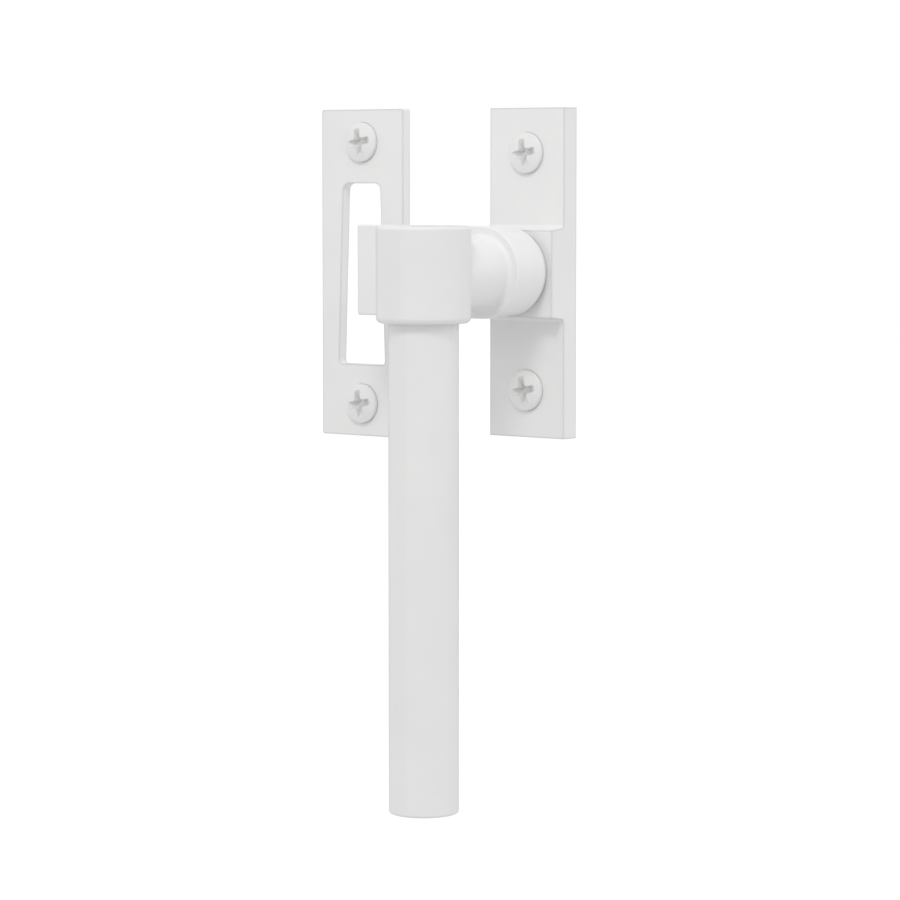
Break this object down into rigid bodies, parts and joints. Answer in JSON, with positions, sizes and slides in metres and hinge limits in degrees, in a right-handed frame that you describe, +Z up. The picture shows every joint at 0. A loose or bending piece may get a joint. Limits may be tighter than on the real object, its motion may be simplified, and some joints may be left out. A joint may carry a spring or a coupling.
{
  "type": "casement window handle with nose and strike plate",
  "caption": "White bar handle that turns a nose on a boss and back plate, with a slotted strike plate beside it.",
  "frame": {"origin": "where the turning axis meets the plane of the back plate's rear face", "axes": "+Z up along the back plate, +X to the right along the window face, +Y into the window, so the room is at -Y"},
  "size_m": [0.0711, 0.0623, 0.15],
  "materials": {
    "white_coating": "satin white powder coat",
    "white_screw": "satin white stoved enamel",
    "white_cap": "fine matt moulded",
    "zinc_steel": "zinc plated",
    "spring_steel": "dark oiled spring steel",
    "bronze": "turned bearing bronze",
    "nylon": "natural nylon"
  },
  "bodies": {
    "plates": {"back_plate": "white_coating", "pivot_bush": "bronze", "front_nylon_washer": "nylon", "stop_pin": "zinc_steel", "back_plate_screw_upper": "white_screw", "back_plate_screw_lower": "white_screw", "strike_plate": "white_coating", "strike_plate_screw_upper": "white_screw", "strike_plate_screw_lower": "white_screw"},
    "handle": {"cam_body": "white_coating", "spindle": "zinc_steel", "handle_head": "white_coating", "grip_bar": "white_coating", "grip_bolt": "zinc_steel", "bolt_washer": "zinc_steel", "head_cap": "white_cap", "steel_washer": "zinc_steel", "rear_nylon_washer": "nylon", "wave_washer": "spring_steel", "retaining_ring": "spring_steel"}
  },
  "joints": [
    {"name": "handle_turn", "type": "hinge", "parent": "plates", "child": "handle", "pos_m": [0, 0, 0], "axis": [0, -1, 0], "range_deg": [0, 90]}
  ]
}
